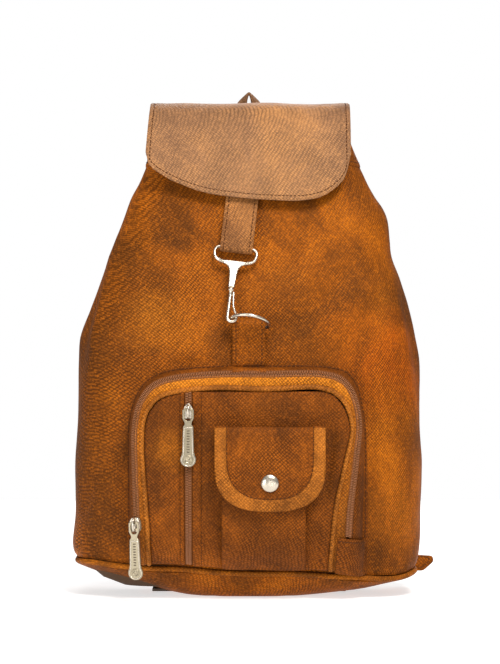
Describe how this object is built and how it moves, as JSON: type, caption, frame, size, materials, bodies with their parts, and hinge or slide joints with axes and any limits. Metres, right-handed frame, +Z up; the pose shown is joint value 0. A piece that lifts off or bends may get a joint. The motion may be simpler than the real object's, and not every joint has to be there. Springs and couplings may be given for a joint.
{
  "type": "leather backpack",
  "caption": "Flap-top leather backpack with a snap hook closure, a zipped front pocket, a snap-closed phone pocket and padded shoulder straps.",
  "frame": {"origin": "middle of the flat base that the bag stands on", "axes": "+Z up, the front with the pocket faces -Y, +X to the right seen from the front"},
  "size_m": [0.2848, 0.2097, 0.3984],
  "materials": {
    "leather_tan": "satin, mottled",
    "leather_light": "satin, lighter top panels",
    "lining": "woven lining",
    "tape": "woven zip tape and webbing",
    "zip_teeth": "coiled nylon teeth",
    "nickel": "warm polished nickel",
    "buckle": "moulded",
    "board": "stiffener board"
  },
  "bodies": {
    "root": {"body_panel": "leather_tan", "back_panel": "leather_tan", "bottom_panel": "leather_tan", "base_piping": "leather_tan", "base_board": "board", "main_lining": "lining", "mouth_hem": "leather_tan", "mouth_eyelet_left": "nickel", "mouth_eyelet_right": "nickel", "ring_strap": "leather_tan", "pocket_wall_rear": "leather_tan", "pocket_wall_front": "leather_tan", "pocket_zip_tape": "tape", "pocket_zip_teeth": "zip_teeth", "pocket_piping": "leather_tan", "pocket_zip_end_patch": "leather_tan", "pocket_panel_left": "leather_tan", "pocket_panel_right": "leather_tan", "face_zip_tape": "tape", "face_zip_teeth": "zip_teeth", "phone_pocket_body": "leather_tan", "phone_flap_fold": "leather_tan", "snap_stud": "nickel", "strap_yoke": "leather_tan", "strap_tab_left": "leather_tan", "strap_tab_right": "leather_tan"},
    "flap": {"flap_panel": "leather_light", "flap_lining": "lining", "flap_strap": "leather_light"},
    "haul_loop": {"haul_loop": "leather_light"},
    "hook_eye": {"hook_eye": "nickel"},
    "hook_body": {"hook_body": "nickel"},
    "hook_gate": {"hook_gate": "nickel"},
    "ring": {"d_ring": "nickel"},
    "pocket_slider": {"pocket_zip_slider": "nickel"},
    "pocket_puller": {"pocket_zip_puller": "nickel"},
    "face_slider": {"face_zip_slider": "nickel"},
    "face_puller": {"face_zip_puller": "nickel"},
    "phone_flap": {"phone_flap": "leather_tan", "phone_flap_binding": "leather_tan", "snap_cap": "nickel", "snap_socket": "nickel"},
    "strap_left": {"shoulder_strap_left": "leather_tan", "strap_webbing_left": "tape"},
    "adjuster_left": {"strap_adjuster_left": "buckle"},
    "strap_right": {"shoulder_strap_right": "leather_tan", "strap_webbing_right": "tape"},
    "adjuster_right": {"strap_adjuster_right": "buckle"}
  },
  "joints": [
    {"name": "flap_hinge", "type": "hinge", "parent": "root", "child": "flap", "pos_m": [0, 0.063, 0.351], "axis": [-1, 0, 0], "range_deg": [0, 130]},
    {"name": "haul_loop_swing", "type": "hinge", "parent": "flap", "child": "haul_loop", "pos_m": [0, 0.066, 0.353], "axis": [-1, 0, 0], "range_deg": [0, 12], "stiffness_Nm_per_rad": 0.02},
    {"name": "hook_eye_pivot", "type": "hinge", "parent": "flap", "child": "hook_eye", "pos_m": [-0.00957, -0.05063, 0.26826], "axis": [-0.9928, 0.0422, 0.1117], "range_deg": [0, 80]},
    {"name": "hook_swivel", "type": "hinge", "parent": "hook_eye", "child": "hook_body", "pos_m": [-0.00957, -0.05063, 0.26826], "axis": [-0.1194, -0.3507, -0.9288], "range_deg": [-15, 6]},
    {"name": "hook_gate_press", "type": "hinge", "parent": "hook_body", "child": "hook_gate", "pos_m": [-0.01104, -0.06352, 0.23412], "axis": [0, 0.9355, -0.3532], "range_deg": [0, 8], "stiffness_Nm_per_rad": 0.02},
    {"name": "ring_swing", "type": "hinge", "parent": "root", "child": "ring", "pos_m": [0.0003, -0.06391, 0.20944], "axis": [-0.9877, 0, 0.1564], "range_deg": [-4, 8]},
    {"name": "pocket_slider_slide", "type": "slide", "parent": "root", "child": "pocket_slider", "axis": [-0.0363, -0.021, 0.9991], "range_m": [0, 0.045]},
    {"name": "pocket_puller_swing", "type": "hinge", "parent": "pocket_slider", "child": "pocket_puller", "pos_m": [-0.08638, -0.08663, 0.05997], "axis": [-0.957, 0.2886, -0.0287], "range_deg": [0, 150]},
    {"name": "face_slider_slide", "type": "slide", "parent": "root", "child": "face_slider", "axis": [0, 0, -1], "range_m": [0, 0.066]},
    {"name": "face_puller_swing", "type": "hinge", "parent": "face_slider", "child": "face_puller", "pos_m": [-0.0458, -0.0883, 0.1454], "axis": [-1, 0, 0], "range_deg": [0, 150]},
    {"name": "phone_flap_hinge", "type": "hinge", "parent": "root", "child": "phone_flap", "pos_m": [0.01585, -0.0933, 0.133], "axis": [-1, 0, 0], "range_deg": [0, 150]},
    {"name": "shoulder_strap_left_swing", "type": "hinge", "parent": "root", "child": "strap_left", "pos_m": [-0.034, 0.0685, 0.318], "axis": [-0.2873, 0.0099, -0.9578], "range_deg": [-10, 10]},
    {"name": "adjuster_left_slide", "type": "slide", "parent": "strap_left", "child": "adjuster_left", "axis": [-0.2491, -0.233, -0.94], "range_m": [0, 0.03]},
    {"name": "shoulder_strap_right_swing", "type": "hinge", "parent": "root", "child": "strap_right", "pos_m": [0.034, 0.0685, 0.318], "axis": [0.2873, 0.0099, -0.9578], "range_deg": [-10, 10]},
    {"name": "adjuster_right_slide", "type": "slide", "parent": "strap_right", "child": "adjuster_right", "axis": [0.2491, -0.233, -0.94], "range_m": [0, 0.03]}
  ]
}
